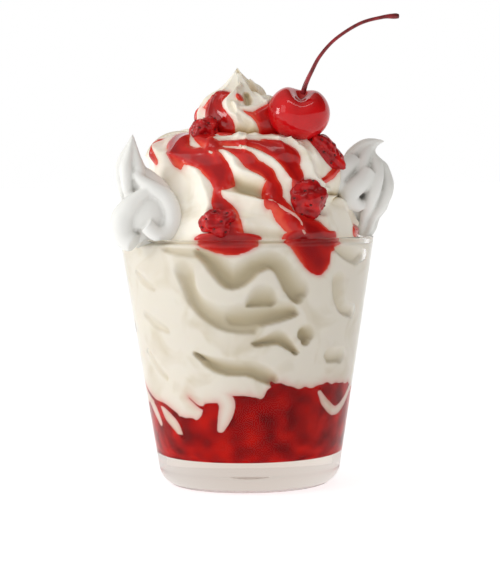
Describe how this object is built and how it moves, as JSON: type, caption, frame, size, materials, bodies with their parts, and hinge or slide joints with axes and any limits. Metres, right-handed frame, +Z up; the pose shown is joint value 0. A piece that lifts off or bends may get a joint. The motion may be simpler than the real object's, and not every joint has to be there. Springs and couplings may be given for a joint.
{
  "type": "ice cream sundae",
  "caption": "Vanilla soft-serve sundae in a clear tumbler, with strawberry sauce and fruit, whipped cream dollops and a cherry on its stem.",
  "frame": {"origin": "centre of the glass's foot, on the table", "axes": "+Z up along the axis of the glass, -Y towards the front of the sundae, +X to its right"},
  "size_m": [0.0981, 0.088, 0.1609],
  "materials": {
    "clear_glass": "clear pressed glass, smooth",
    "strawberry_sauce": "glossy red fruit sauce with pieces of fruit",
    "vanilla_soft_serve": "smooth cream-coloured soft ice cream",
    "whipped_cream": "white whipped cream",
    "cherry_skin": "glossy red skin of a cocktail cherry",
    "cherry_stem": "smooth dark red stem",
    "strawberry": "wet dark red fruit with seeds"
  },
  "bodies": {
    "root": {"glass": "clear_glass", "strawberry_sauce": "strawberry_sauce", "soft_serve": "vanilla_soft_serve", "whipped_cream_left": "whipped_cream", "whipped_cream_right": "whipped_cream", "cherry": "cherry_skin", "cherry_stem": "cherry_stem", "strawberry_piece_1": "strawberry", "strawberry_piece_2": "strawberry", "strawberry_piece_3": "strawberry", "strawberry_piece_4": "strawberry"}
  },
  "joints": []
}
